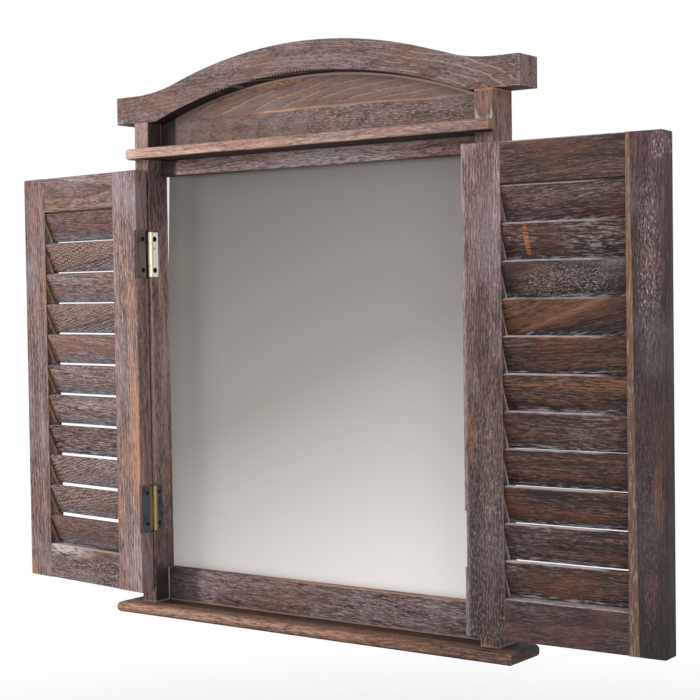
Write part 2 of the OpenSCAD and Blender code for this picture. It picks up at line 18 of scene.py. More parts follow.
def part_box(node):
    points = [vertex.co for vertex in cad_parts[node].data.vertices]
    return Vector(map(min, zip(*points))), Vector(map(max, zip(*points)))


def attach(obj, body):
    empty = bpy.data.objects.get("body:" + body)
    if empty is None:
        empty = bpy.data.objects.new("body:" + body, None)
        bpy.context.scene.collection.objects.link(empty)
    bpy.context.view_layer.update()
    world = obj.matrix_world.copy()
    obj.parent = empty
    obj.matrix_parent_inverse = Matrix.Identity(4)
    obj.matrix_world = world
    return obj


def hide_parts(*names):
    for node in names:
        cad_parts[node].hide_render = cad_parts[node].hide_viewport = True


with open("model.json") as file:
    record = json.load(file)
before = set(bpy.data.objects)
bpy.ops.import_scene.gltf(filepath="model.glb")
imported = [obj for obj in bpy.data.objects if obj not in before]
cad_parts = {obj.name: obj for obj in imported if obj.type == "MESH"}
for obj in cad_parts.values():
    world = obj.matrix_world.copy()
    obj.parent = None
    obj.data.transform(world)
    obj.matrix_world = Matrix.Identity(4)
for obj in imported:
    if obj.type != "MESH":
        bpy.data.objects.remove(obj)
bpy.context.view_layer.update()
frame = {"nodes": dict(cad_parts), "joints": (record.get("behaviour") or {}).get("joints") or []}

# %% [markdown]
# ## The camera
# A photograph's viewpoint can be solved from known corners: where the cap's
# ends, the posts and the shelf fall in the picture fixes the lens, the
# distance and the turn of the camera. Those values are kept here as plain
# numbers: a place in metres over the shelf's underside, and three turns. A
# long lens from the right, nearly level, gives the gentle perspective of the
# picture.

# %% Camera
PICTURE = 700
FOCAL_PX = 1607.6
CAMERA_AT = Vector((0.82046, -1.09843, 0.28450))
YAW, PITCH, ROLL = math.radians(35.82), math.radians(-1.93), math.radians(-0.82)
SENSOR = 36

shelf_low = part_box("shelf")[0][2]


def add_camera():
    data = bpy.data.cameras.new("camera")
    data.sensor_width = SENSOR
    data.lens = FOCAL_PX * SENSOR / PICTURE
    camera = bpy.data.objects.new("camera", data)
    ahead = Vector((-math.sin(YAW) * math.cos(PITCH), math.cos(YAW) * math.cos(PITCH), math.sin(PITCH)))
    level = Vector((math.cos(YAW), math.sin(YAW), 0))
    over = level.cross(ahead)
    right = math.cos(ROLL) * level + math.sin(ROLL) * over
    up = math.cos(ROLL) * over - math.sin(ROLL) * level
    turn = camera.matrix_world.to_3x3()
    turn.col[0], turn.col[1], turn.col[2] = right, up, -ahead
    camera.matrix_world = turn.to_4x4()
    camera.location = CAMERA_AT + Vector((0, 0, shelf_low))
    bpy.context.collection.objects.link(camera)
    bpy.context.scene.camera = camera
    return camera


camera = add_camera()
print("lens:", round(camera.data.lens, 1), "mm at", [round(v, 3) for v in camera.location])

# %% [markdown]
# ## Small tools for mixing finishes
# A finish is a graph of shader nodes. Written out in full, each takes three
# lines to make and join, so a few short helpers do that: one adds any node
# and feeds its sockets, and the others name the sums that a finish needs
# most. Colours are written as they look on screen and turned into the linear
# values that a shader counts in.

# %% Tools for nodes
MM = 0.001
TO_MM = (1000, 1000, 1000)


def colour(code):
    parts = [int(code[i:i + 2], 16) / 255 for i in (0, 2, 4)]
    return [p / 12.92 if p <= 0.04045 else ((p + 0.055) / 1.055) ** 2.4 for p in parts] + [1]


def feed(tree, socket, value):
    if isinstance(value, bpy.types.NodeSocket):
        tree.links.new(value, socket)
    else:
        socket.default_value = value


def add(tree, kind, feeds=None, **settings):
    made = tree.nodes.new("ShaderNode" + kind)
    for key, value in settings.items():
        setattr(made, key, value)
    for key, value in (feeds or {}).items():
        feed(tree, made.inputs[key], value)
    return made


def sum_of(tree, operation, *values, clamp=False):
    return add(tree, "Math", dict(enumerate(values)), operation=operation, use_clamp=clamp).outputs[0]


def times(tree, vector, factors):
    return add(tree, "VectorMath", {0: vector, 1: factors}, operation="MULTIPLY").outputs[0]


def between(tree, value, low, high):
    feeds = {"Value": value, "From Min": low, "From Max": high}
    return add(tree, "MapRange", feeds, interpolation_type="SMOOTHSTEP").outputs[0]


def noise(tree, vector, stretch, detail=2, rough=0.5):
    feeds = {"Vector": times(tree, vector, stretch), "Scale": 1, "Detail": detail, "Roughness": rough}
    return add(tree, "TexNoise", feeds)


def mixed(tree, share, first, second):
    return add(tree, "Mix", {0: share, 6: first, 7: second}, data_type="RGBA").outputs[2]


def ramp(tree, value, stops):
    made = add(tree, "ValToRGB", {"Fac": value})
    steps = made.color_ramp.elements
    while len(steps) < len(stops):
        steps.new(1)
    for step, (place, shade) in zip(steps, stops):
        step.position = place
        step.color = shade
    return made.outputs[0]


def new_finish(name):
    material = bpy.data.materials.new(name)
    material.use_nodes = True
    tree = material.node_tree
    shader = tree.nodes["Principled BSDF"]
    return material, tree, shader


print("finish tools ready; mid grey 808080 is", round(colour("808080")[0], 3), "in linear light")

# %% [markdown]
# ## Weathered timber
# The frame is cheap hardwood that was sawn, stained and brushed with lime:
# mauve-brown with dark rings, fine fibres, pale specks where lime stayed in
# the pores, and an orange-brown arris wherever hands have rubbed it. A picture
# of wood would slide over the corners. Here each board carries its own
# coordinates instead: how far along the grain a point lies, and how far from
# the heart of the tree, across and through. Rings are circles round that
# heart, so a board near it shows arches and a board far from it straight
# lines, and its end shows the rings cut across, as sawing does.

# %% How the grain runs
BEND_STRETCH, BEND_MM = (0.008, 0.03, 0.03), (0, 9, 9)
TREMBLE_STRETCH, TREMBLE_MM = (0.05, 0.25, 0.25), (0, 1.6, 1.6)
HALF = (0.5, 0.5, 0.5)


def swerve(tree, grain, stretch, detail):
    cloud = noise(tree, grain, stretch, detail).outputs["Color"]
    return add(tree, "VectorMath", {0: cloud, 1: HALF}, operation="SUBTRACT").outputs[0]


def pushed(tree, grain, push, reach):
    return add(tree, "VectorMath", {0: grain, 1: times(tree, push, reach)}, operation="ADD").outputs[0]


def from_heart(tree, cut):
    across = sum_of(tree, "MULTIPLY", cut.outputs[1], cut.outputs[1])
    through = sum_of(tree, "MULTIPLY", cut.outputs[2], cut.outputs[2])
    return sum_of(tree, "SQRT", sum_of(tree, "ADD", across, through))


print("the grain bends by", BEND_MM[1] / 2, "mm at most and trembles by", TREMBLE_MM[1] / 2, "mm")

# %% [markdown]
# ## Lines and pores
# All lines of a board are noises that are stretched along its grain: fibres,
# finer hairs, long streaks and pores. The rings count the distance from the
# heart. Each one darkens slowly and ends at once, as the wood of one summer
# does. A slow patchy noise says where the board has grown warm or grey.

# %% Lines and pores
FIBRE_STRETCH, HAIR_STRETCH = (0.09, 0.85, 0.85), (0.25, 1.3, 1.3)
STREAK_STRETCH, PATCH_STRETCH = (0.004, 0.12, 0.12), (0.014, 0.03, 0.03)
LATE_WOOD = 2.5
PORE_RANGE, SLIT_RANGE = (0.54, 0.66), (0.42, 0.31)


def grain_lines(tree, rings, pores):
    grain = times(tree, add(tree, "Attribute", attribute_name="grain").outputs["Vector"], TO_MM)
    drift = swerve(tree, grain, BEND_STRETCH, 1)
    bent = pushed(tree, grain, drift, BEND_MM)
    bent = pushed(tree, bent, swerve(tree, grain, TREMBLE_STRETCH, 2), TREMBLE_MM)
    cut = add(tree, "SeparateXYZ", {0: bent})
    turn = sum_of(tree, "FRACT", sum_of(tree, "DIVIDE", from_heart(tree, cut), rings))
    fleck = noise(tree, bent, (pores[0], pores[1], pores[1]), 3, 0.6).outputs[0]
    return {
        "lengthways": cut.outputs[0],
        "sideways": cut.outputs[1],
        "drift": add(tree, "SeparateXYZ", {0: drift}).outputs[1],
        "turn": turn,
        "ring": sum_of(tree, "POWER", turn, LATE_WOOD),
        "fibre": noise(tree, bent, FIBRE_STRETCH, 3, 0.6).outputs[0],
        "hair": noise(tree, bent, HAIR_STRETCH, 2, 0.6).outputs[0],
        "streak": noise(tree, grain, STREAK_STRETCH, 4, 0.6).outputs[0],
        "patch": noise(tree, grain, PATCH_STRETCH, 2).outputs[0],
        "fleck": fleck,
        "pore": between(tree, fleck, *PORE_RANGE),
        "slit": between(tree, fleck, *SLIT_RANGE),
    }


print("a ring darkens most in its last", round(1 - 0.5 ** (1 / LATE_WOOD), 2))

# %% [markdown]
# ## Places for marks
# A mark needs to know where it is. Most marks go by a share of the board's
# length or width, by the way a face looks, or by one of the lines above. A few
# need more: an oval for a knot, a slanting line for a seam, a woven wave for
# crossed grain, bars for saw marks, and the distance from the arch that is cut
# under the cap. That arch is a circle, and its radius follows from a rise of
# 29.5 mm over a half width of 163 mm.

# %% Places for marks
SOFFIT_R = 465.1
SOFFIT_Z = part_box("header_panel")[1][2] / MM - SOFFIT_R
OVAL_WOBBLE, SLOPE_WOBBLE = 0.8, 0.12
WEAVE_ACROSS, WEAVE_ALONG, WEAVE_SWING = 2.4, 1.1, 1.5
PATCH_SHIFT, FLECK_SHIFT = 20, 6
SAW_TURN = 1.9


def oval(tree, seat, u, v, ru, rv):
    across = sum_of(tree, "DIVIDE", sum_of(tree, "SUBTRACT", seat["along"], u), ru)
    up = sum_of(tree, "DIVIDE", sum_of(tree, "SUBTRACT", seat["across"], v), rv)
    far = sum_of(tree, "ADD", sum_of(tree, "MULTIPLY", across, across), sum_of(tree, "MULTIPLY", up, up))
    return sum_of(tree, "MULTIPLY_ADD", seat["drift"], OVAL_WOBBLE, sum_of(tree, "SQRT", far))


def slope(tree, seat, u, v):
    made = sum_of(tree, "MULTIPLY_ADD", seat["along"], u, sum_of(tree, "MULTIPLY", seat["across"], v))
    return sum_of(tree, "MULTIPLY_ADD", seat["drift"], SLOPE_WOBBLE, made)


def woven(tree, lines):
    swing = sum_of(tree, "SINE", sum_of(tree, "MULTIPLY", lines["lengthways"], WEAVE_ALONG))
    shift = sum_of(tree, "MULTIPLY", lines["fleck"], FLECK_SHIFT)
    shift = sum_of(tree, "MULTIPLY_ADD", lines["patch"], PATCH_SHIFT, shift)
    shift = sum_of(tree, "MULTIPLY_ADD", swing, WEAVE_SWING, shift)
    return sum_of(tree, "SINE", sum_of(tree, "MULTIPLY_ADD", lines["sideways"], WEAVE_ACROSS, shift))


def arch_gap(tree, spot):
    aside = sum_of(tree, "POWER", spot.outputs[0], 2)
    over = sum_of(tree, "POWER", sum_of(tree, "SUBTRACT", spot.outputs[2], SOFFIT_Z), 2)
    return sum_of(tree, "SUBTRACT", SOFFIT_R, sum_of(tree, "SQRT", sum_of(tree, "ADD", aside, over)))


print("the arch under the cap has a radius of", SOFFIT_R, "mm")

# %% [markdown]
# ## Worn edges
# Corners wear first. A bevelled normal shows where they are: on a flat face it
# agrees with the true normal, and near a corner the two differ. The same
# bevelled normal tells how far an edge tilts up, where lime settles and where
# a highlight from above is painted. All these addresses are then gathered
# under short names, so that a mark can ask for what it needs.

# %% Worn edges and the seat of a mark
def worn_edges(tree, reach):
    plain = add(tree, "NewGeometry").outputs["Normal"]
    rounded = add(tree, "Bevel", {"Radius": reach}, samples=6).outputs[0]
    match = add(tree, "VectorMath", {0: plain, 1: rounded}, operation="DOT_PRODUCT").outputs["Value"]
    return sum_of(tree, "SUBTRACT", 1, match), rounded


def seat_of(tree, lines, edge, rounded):
    place = add(tree, "SeparateXYZ", {0: add(tree, "Attribute", attribute_name="place").outputs["Vector"]})
    facing = add(tree, "SeparateXYZ", {0: add(tree, "NewGeometry").outputs["Normal"]})
    spot = add(tree, "SeparateXYZ", {0: times(tree, add(tree, "TexCoord").outputs["Object"], TO_MM)})
    bars = sum_of(tree, "MULTIPLY_ADD", spot.outputs[0], SAW_TURN, lines["streak"])
    seat = {key: lines[key] for key in ("patch", "streak", "fibre", "drift")}
    seat.update({
        "along": place.outputs[0],
        "across": place.outputs[1],
        "through": place.outputs[2],
        "right": facing.outputs[0],
        "up": facing.outputs[2],
        "edge": edge,
        "tilt": add(tree, "SeparateXYZ", {0: rounded}).outputs[2],
        "pore": lines["fleck"],
        "ring": lines["turn"],
        "weave": woven(tree, lines),
        "saw": sum_of(tree, "SINE", bars),
        "soffit": arch_gap(tree, spot),
    })
    return seat


def marked(tree, seat, wood, ranges, shade, share):
    mask = share
    for place, low, high in ranges:
        if isinstance(place, tuple):
            value = (oval if len(place) == 4 else slope)(tree, seat, *place)
        else:
            value = seat[place]
        mask = sum_of(tree, "MULTIPLY", mask, between(tree, value, low, high))
    return mixed(tree, mask, wood, colour(shade))


print("saw marks stand", round(2 * math.pi / SAW_TURN, 1), "mm apart")

# %% [markdown]
# ## One timber, many boards
# One function makes every timber finish, layer over layer: first in the order
# in which the real board got them, the wood's own three tones, warm and grey
# patches, dark slits and limed pores and rubbed corners, then painted shade on
# undersides and on faces turned to the right, and last its own marks. Each
# board then only states how it differs. The tone can also fade along a board:
# a painted gradient of light, paler towards the end where more light falls.

# %% Timber finish
# The first colour here serves only as painted shade, in this finish and in the marks.
PAINTED_SHADE, LIME, PORE_LIME = "171010", "c8bcb8", "b9a8a2"
HAZE, UNDERSIDE_SHADE = "9c9196", "120c0b"
WORN_REACH, SOFT_CORNER, BUMP_DEPTH = 1.8 * MM, 0.5 * MM, 0.35 * MM
# Faces that look down and faces turned to the right are darkened: painted shade, with the light from above
# and from the left.
UNDERSIDE, FLANK = [("up", -0.3, -0.8)], [("right", 0.4, 0.9)]
BASE_TONE, FIBRE_TONE, HAIR_TONE, STREAK_TONE = 0.16, 1.2, 0.8, 0.75
DARK_AT, MID_AT, PALE_AT = 0.2, 0.5, 0.85
RING_DIP, SLIT_DIP, SLIT_STAIN = 0.3, 0.5, 0.4


def timber(name, dark, mid, pale, worn, limed=0.5, rings=2.2, ring_depth=0.2, wear=1, warmth=0.3,
           haze=0.3, grit=1, under=0.7, flank=0.2, fade=(1, 1), pores=(0.14, 1.15), marks=()):
    material, tree, shader = new_finish(name)
    lines = grain_lines(tree, rings, pores)
    edge, rounded = worn_edges(tree, WORN_REACH)
    seat = seat_of(tree, lines, edge, rounded)

    tone = sum_of(tree, "MULTIPLY_ADD", lines["fibre"], FIBRE_TONE * grit, BASE_TONE - grit)
    tone = sum_of(tree, "MULTIPLY_ADD", lines["hair"], HAIR_TONE * grit, tone)
    tone = sum_of(tree, "MULTIPLY_ADD", lines["streak"], STREAK_TONE, tone)
    tone = sum_of(tree, "MULTIPLY_ADD", lines["ring"], -ring_depth, tone)
    wood = ramp(tree, tone, [(DARK_AT, colour(dark)), (MID_AT, colour(mid)), (PALE_AT, colour(pale))])
    warm = sum_of(tree, "MULTIPLY", between(tree, lines["patch"], 0.5, 0.75), warmth)
    wood = mixed(tree, warm, wood, colour(worn))
    grey = sum_of(tree, "MULTIPLY", between(tree, lines["patch"], 0.5, 0.25), haze)
    wood = mixed(tree, grey, wood, colour(HAZE))
    wood = mixed(tree, sum_of(tree, "MULTIPLY", lines["slit"], SLIT_STAIN), wood, colour(dark))
    held = sum_of(tree, "MULTIPLY", between(tree, lines["patch"], 0.7, 0.3), limed)
    wood = mixed(tree, sum_of(tree, "MULTIPLY", lines["pore"], held), wood, colour(PORE_LIME))
    # A fade scales the tone along the board: a painted gradient of light, paler where more light falls.
    if fade != (1, 1):
        level = add(tree, "MapRange", {"Value": seat["along"], "To Min": fade[0], "To Max": fade[1]})
        wood = add(tree, "VectorMath", {0: wood, "Scale": level.outputs[0]}, operation="SCALE").outputs[0]

    broken = between(tree, lines["streak"], 0.4, 0.65)
    rubbed = sum_of(tree, "MULTIPLY", between(tree, edge, 0.04, 0.25), broken)
    wood = mixed(tree, sum_of(tree, "MULTIPLY", rubbed, wear, clamp=True), wood, colour(worn))
    # Painted shade on undersides and right-facing faces comes before the board's own marks.
    for mark in ((UNDERSIDE, UNDERSIDE_SHADE, under), (FLANK, PAINTED_SHADE, flank), *marks):
        wood = marked(tree, seat, wood, *mark)

    height = sum_of(tree, "MULTIPLY_ADD", lines["ring"], -RING_DIP, lines["fibre"])
    height = sum_of(tree, "MULTIPLY_ADD", lines["slit"], -SLIT_DIP, height)
    bump = add(tree, "Bump", {"Strength": 0.6, "Distance": BUMP_DEPTH, "Height": height})
    feed(tree, bump.inputs["Normal"], add(tree, "Bevel", {"Radius": SOFT_CORNER}, samples=4).outputs[0])
    feed(tree, shader.inputs["Base Color"], wood)
    feed(tree, shader.inputs["Normal"], bump.outputs[0])
    feed(tree, shader.inputs["Roughness"], sum_of(tree, "MULTIPLY_ADD", lines["fibre"], 0.3, 0.6))
    shader.inputs["Specular IOR Level"].default_value = 0.3
    return material


print("timber is rubbed within", round(WORN_REACH / MM, 1), "mm of its corners")

# %% [markdown]
# ## Marks on each board, with painted light and shade
# No two boards look alike. A list of marks gives each its own history, and
# paints light and shade on it as well: a place on the board, how sharply the
# mark begins there, a colour and a strength. A place is a share of the board's
# length or width, the way a face looks, an oval or a slanting line. The
# frame's boards come first: the left post has a pocket of painted shade and
# light beside the folded shutter, the cap has saw marks in a painted shade
# under its arch, and the panel has a painted shadow and highlight under the
# cap and a long seam. The rails and the panel take the left post's painted
# shadow at their left ends, and the shelf takes painted shade on its top, its
# right end and its lower edge.

# %% Marks on the frame
INNER = ("right", 0.5, 0.9)
# Painted shade on the left post's inner face beside the folded shutter, with a paler band of painted light.
POST_POCKET_SHADE = [([INNER, ("along", 0.925, 0.945)], PAINTED_SHADE, 0.85),
          ([INNER, ("along", 0.28, 0.12)], PAINTED_SHADE, 0.45),
          ([INNER, ("along", 0.76, 0.86), ("along", 0.93, 0.90)], PAINTED_SHADE, 0.5),
          ([INNER, ("along", 0.10, 0.05)], PAINTED_SHADE, 0.85),
          ([INNER, ("along", 0.2, 0.6), ("along", 0.78, 0.7), ("streak", 0.45, 0.6)], "b79a8c", 0.4)]
FOOT = [([("along", 0.005, 0.003)], "b59c8a", 0.35)]
TOP_LINE = [([("up", 0.25, 0.6), ("streak", 0.35, 0.5), ("along", 0.2, 0.5)], "a5816c", 0.7)]
DOME = (0.978, 0.5, 0.034, 0.52)
SEAM = (0.035, 1.0)
MARKS = {
    # Near its top the left post's front face is painted paler, above the shutter's shadow: painted light.
    "post_left": POST_POCKET_SHADE + FOOT + [([("right", 0.5, 0.3), ("along", 0.90, 0.93)], "b89a8e", 0.3)],
    "post_right": FOOT + [([("along", 0.9955, 0.998)], "b5754a", 0.7),
                          ([(DOME, 1.1, 0.8), ("along", 0.94, 0.95), ("fibre", 0.3, 0.6)], "7d5848", 0.6),
                          ([(DOME, 0.9, 1.05), ("along", 0.972, 0.96), ("along", 0.935, 0.945),
                            ("right", 0.5, 0.3), ("fibre", 0.25, 0.5)], LIME, 0.6)],
    # Saw marks along the arch's edge, darkened almost to black: painted shade under the cap.
    "cap": [([("along", 0.24, 0.28), ("along", 0.56, 0.50), ("soffit", -2.4, -1.2), ("saw", 0.0, 0.5)],
             PAINTED_SHADE, 0.95),
            ([("ring", 0.72, 0.98), ("along", 0.25, 0.35), ("streak", 0.38, 0.5)], "b09c94", 0.5),
            ([("ring", 0.30, 0.06), ("along", 0.25, 0.35), ("fibre", 0.60, 0.42)], "3a2a28", 0.4),
            ([("along", 0.03, 0.0), ("across", 0.12, 0.02), ("pore", 0.5, 0.58)], LIME, 0.9),
            ([("edge", 0.02, 0.1), ("along", 0.93, 0.96), ("pore", 0.46, 0.54)], LIME, 0.9)],
    "panel": [([(SEAM, 0.54, 0.58)], "7d5f54", 0.45),
              ([(SEAM, 0.57, 0.53), ("along", 0.32, 0.6), ("pore", 0.54, 0.63)], "b0a29e", 0.55),
              ([(SEAM, 0.57, 0.53), ("along", 0.32, 0.6), ("pore", 0.45, 0.36)], "2c2224", 0.5),
              ([(SEAM, 0.545, 0.555), (SEAM, 0.58, 0.57), ("along", 0.3, 0.36)], "b8937a", 0.4),
              ([(SEAM, 0.545, 0.555), (SEAM, 0.58, 0.57), ("along", 0.33, 0.38), ("along", 0.48, 0.42),
                ("fibre", 0.4, 0.55)], "cf8f4c", 0.7),
              ([("ring", 0.70, 0.98), (SEAM, 0.58, 0.62), ("streak", 0.38, 0.5)], "a8938a", 0.42),
              ([("ring", 0.34, 0.08), (SEAM, 0.58, 0.62), ("fibre", 0.60, 0.42)], "3a2a28", 0.4),
              # Below the arch the panel is painted with the cap's shadow as a near-black line, and under it
              # with a painted highlight as of a lit rounded rim, pale and then orange in the middle.
              ([("soffit", 3.4, 2.2), ("along", 0.25, 0.35)], "c3aca4", 0.6),
              ([("soffit", 2.2, 3.5), ("soffit", 7.5, 4.5), ("along", 0.30, 0.38), ("along", 0.52, 0.44),
                ("fibre", 0.40, 0.56)], "cf8f4c", 0.7),
              ([("soffit", 1.2, 0.5)], "0c0808", 0.95),
              # A painted shadow of the left post, near the panel's left end.
              ([("along", 0.068, 0.058)], PAINTED_SHADE, 0.85),
              ([("along", 0.0128, 0.0118)], "b0805c", 0.6)],
    # The mirror rail's left end carries a painted shadow of the left post.
    "rails": TOP_LINE + [([("along", 0.075, 0.06)], PAINTED_SHADE, 0.8),
                         ([("along", 0.2, 0.5), ("along", 0.85, 0.7), ("pore", 0.48, 0.58)], "b5a8a6", 0.5)],
    # The bottom rail's left part carries a painted shadow of the left post.
    "bottom_rail": TOP_LINE + [([("along", 0.135, 0.108)], PAINTED_SHADE, 0.6),
                               ([("along", 0.022, 0.019)], "cbbcae", 0.7),
                               ([((0.0, 0.1, 0.014, 0.14), 1.2, 0.5)], "bfb1a8", 0.6),
                               ([("along", 0.4, 0.7), ("pore", 0.53, 0.62)], "a89a98", 0.4),
                               ([("across", 0.075, 0.05), ("along", 0.02, 0.03)], "a5866e", 0.7)],
    "ledge": [([("along", 0.05, 0.015)], "cdb9b1", 0.4),
              ([("across", 0.5, 0.2), ("across", 0.0, 0.1), ("streak", 0.45, 0.6), ("along", 0.8, 0.6)],
               "d2a781", 0.6)],
    # Painted shade on the shelf: its top behind the nose, its end turned to the right and its lower edge are
    # darkened.
    "shelf": [([("up", 0.6, 0.9), ("through", 0.34, 0.44)], "0f0908", 0.72),
              ([INNER], PAINTED_SHADE, 0.5),
              ([("across", 0.25, 0.1)], PAINTED_SHADE, 0.5),
              ([("through", 0.12, 0.03), ("across", 0.3, 0.6), ("along", 0.85, 0.5), ("fibre", 0.34, 0.58)],
               "c6a28a", 0.35)],
}
print("marks on the frame's boards:", sum(len(marks) for marks in MARKS.values()))

# %% [markdown]
# ## Marks on the left shutter
# This shutter stands in the light, so its marks are the easiest to read: a
# knot and an orange streak, a grey lip along each slat's lower edge, where
# lime and dust lie, and on some slats a crossing figure.

# %% Marks on the left shutter
# The hinge stile's inner edge, turned to the right, is painted darker, and near black along its back:
# painted shade, and a painted shadow in the gap to the post.
HINGE_EDGE_SHADE = [([INNER], PAINTED_SHADE, 0.15),
        ([INNER, ("fibre", 0.3, 0.6)], "6b5350", 0.5),
        ([INNER, ("through", 0.16, 0.08)], "0c0808", 0.95)]
SLAT_LIP = [([("across", 0.38, 0.05)], "6f6c74", 0.5),
            ([("across", 0.24, 0.06), ("fibre", 0.46, 0.60)], "a4a6ac", 0.6)]
FIGURE = [([("weave", 0.1, 0.9), ("fibre", 0.34, 0.52)], "c6b1a7", 0.45),
          ([("weave", -0.1, -0.9), ("fibre", 0.60, 0.44)], "241a1c", 0.65)]
CREASE = (0.59, 1.0)
KNOT = (0.60, 0.5)
LEFT_MARKS = {
    "left": HINGE_EDGE_SHADE + [([("streak", 0.52, 0.66), ("patch", 0.45, 0.55)], "b08468", 0.4),
                    ([("across", 0.5, 0.15), ("along", 0.60, 0.45), ("along", 0.16, 0.3),
                      ("fibre", 0.3, 0.55), ("right", 0.5, 0.3)], "b5805c", 0.6)],
    "left_outer": [([("streak", 0.54, 0.66), ("patch", 0.45, 0.55)], "a87c64", 0.4),
                   ([("along", 0.06, 0.02), ("across", 0.4, 0.9)], "a5714c", 0.5)],
    # The bottom rail's top face is painted dark, as painted shade under the lowest slat; its front strip
    # stays pale.
    "left_bottom": [([("up", 0.3, 0.7)], "3a2924", 0.8),
                    ([("up", 0.3, 0.7), ("through", 0.55, 0.72)], "bfa48e", 0.8),
                    ([((0.72, 0.95, 0.3, 0.3), 1.3, 0.3), ("fibre", 0.36, 0.55)], "c9bfc0", 0.7),
                    ([("pore", 0.56, 0.62), ("across", 0.85, 0.6)], "aa9c98", 0.65)],
    "left_top_rail": [([((*KNOT, 0.045, 0.15), 1.3, 0.2)], "8a5a54", 0.5),
                      ([((*KNOT, 0.07, 0.24), 1.3, 1.0), ((*KNOT, 0.07, 0.24), 0.7, 1.0)], "5a3f3c", 0.45),
                      ([("across", 0.36, 0.12), ("fibre", 0.42, 0.62)], "b08a74", 0.5),
                      ([("across", 0.7, 0.95), ("fibre", 0.5, 0.62)], "a99aa0", 0.5)],
    "left_slats": SLAT_LIP + [([("streak", 0.56, 0.64)], "6b4038", 0.5)],
    "left_wavy": SLAT_LIP + FIGURE,
    "left_figured": SLAT_LIP + [([(CREASE, 0.58, 0.62)], "8a6552", 0.3)] + FIGURE
                    + [([(CREASE, 0.55, 0.57), (CREASE, 0.60, 0.58)], "3a2a28", 0.7)],
    "left_streaked": SLAT_LIP + [([("fibre", 0.47, 0.38)], "2a1e20", 0.75),
                                 ([("fibre", 0.56, 0.66), ("across", 0.7, 0.4)], "bfb2b2", 0.5)],
}
MARKS.update(LEFT_MARKS)
print("marks on the left shutter:", sum(len(marks) for marks in LEFT_MARKS.values()))

# %% [markdown]
# ## Marks on the right shutter
# This shutter stands in the shade. What shows there is lime: along the slats'
# edges, in the pores of the stiles and on all faces that look up. The slats'
# upper edges also carry a painted highlight from above. Between the lime a
# few slats show brown flames and partings.

# %% Marks on the right shutter
LIMED_LIP = [([("across", 0.13, 0.03)], "3c3f46", 0.5),
             ([("across", 0.15, 0.05), ("fibre", 0.48, 0.62)], "b4b4ba", 0.7),
             # Edges that tilt up are painted pale up to near the outer end: lime, and a painted highlight
             # from above that stops where the shade begins.
             ([("tilt", 0.3, 0.6), ("along", 0.02, 0.05), ("along", 0.86, 0.70), ("fibre", 0.22, 0.50)],
              "c4b8bc", 0.75),
             ([("streak", 0.50, 0.36), ("fibre", 0.66, 0.46), ("across", 0.12, 0.2)], "180f0e", 0.55)]
LIMED_SIDE = (0.1485, 1.0)
PARTING = (-1.25, 1.0)
RIGHT_MARKS = {
    "right": [([("up", 0.3, 0.7), ("fibre", 0.24, 0.52)], "b0a3a6", 0.85),
              ([("up", 0.3, 0.7), ("pore", 0.50, 0.40)], "4a3a38", 0.55),
              ([("up", 0.3, 0.7), ("streak", 0.52, 0.66)], "8a6a5c", 0.4)],
    "right_outer": [([((0.31, 0.78, 0.08, 0.18), 1.3, 0.3), ("fibre", 0.36, 0.60)], "7c5240", 0.5),
                    ([((0.13, 0.62, 0.06, 0.20), 1.3, 0.3), ("fibre", 0.36, 0.60)], "60403a", 0.4),
                    ([(LIMED_SIDE, 0.27, 0.25)], "60483f", 0.8),
                    ([(LIMED_SIDE, 0.27, 0.25), ("along", 0.50, 0.72), ("fibre", 0.3, 0.55)], "825c46", 0.6),
                    ([(LIMED_SIDE, 0.27, 0.25), ("fibre", 0.52, 0.62)], "a08c84", 0.4),
                    ([((0.76, 0.55, 0.18, 0.32), 1.3, 0.3), ("pore", 0.57, 0.64)], "c2b8b6", 0.75),
                    ([((0.975, 0.85, 0.03, 0.22), 1.2, 0.5), ("pore", 0.56, 0.62)], "c2b8b6", 0.8),
                    ([((0.25, 0.55, 0.25, 0.25), 1.3, 0.4), ("pore", 0.58, 0.64)], "857876", 0.6)],
    "right_hinge": [([((0.93, 0.32, 0.06, 0.30), 1.2, 0.5), ("pore", 0.48, 0.40)], "4c4446", 0.5),
                    ([("across", 0.16, 0.04), ("fibre", 0.30, 0.56)], "b6a3a4", 0.4),
                    ([((0.41, 0.24, 0.07, 0.18), 1.3, 0.3), ("fibre", 0.34, 0.60)], "8a5842", 0.45),
                    ([("along", 0.6, 0.3), ("pore", 0.55, 0.62)], "968a88", 0.5)],
    "right_slats": LIMED_LIP,
    "right_warm": LIMED_LIP + [([("streak", 0.50, 0.62), ("across", 0.15, 0.5), ("fibre", 0.40, 0.62)],
                                "8a5a3a", 0.5)],
    "right_parted": LIMED_LIP + [([(PARTING, -0.06, -0.02), ("fibre", 0.36, 0.62)], "76503c", 0.6),
                                 ([(PARTING, -0.22, -0.05), (PARTING, 0.0, -0.04), ("fibre", 0.2, 0.5)],
                                  "86644f", 0.5)],
    "right_flamed": LIMED_LIP + [([((0.205, 0.5, 0.022, 0.5), 1.3, 0.5), ("fibre", 0.35, 0.6)],
                                  "a8683e", 0.9),
                                 ([((0.70, 0.5, 0.3, 0.5), 1.2, 0.5), ("fibre", 0.52, 0.62)],
                                  "a39a98", 0.5)],
    "right_pale": LIMED_LIP + [([((0.5, 0.4, 0.35, 0.5), 1.2, 0.5), ("pore", 0.53, 0.59)], "a89e9c", 0.5)],
}
MARKS.update(RIGHT_MARKS)
print("marks on the right shutter:", sum(len(marks) for marks in RIGHT_MARKS.values()))

# %% [markdown]
# ## Finishes for the frame
# Each finish names three tones from dark to pale and the colour of its rubbed
# corners, then says how gritty, limed or faded it is. The tones were set,
# board by board, against the picture.

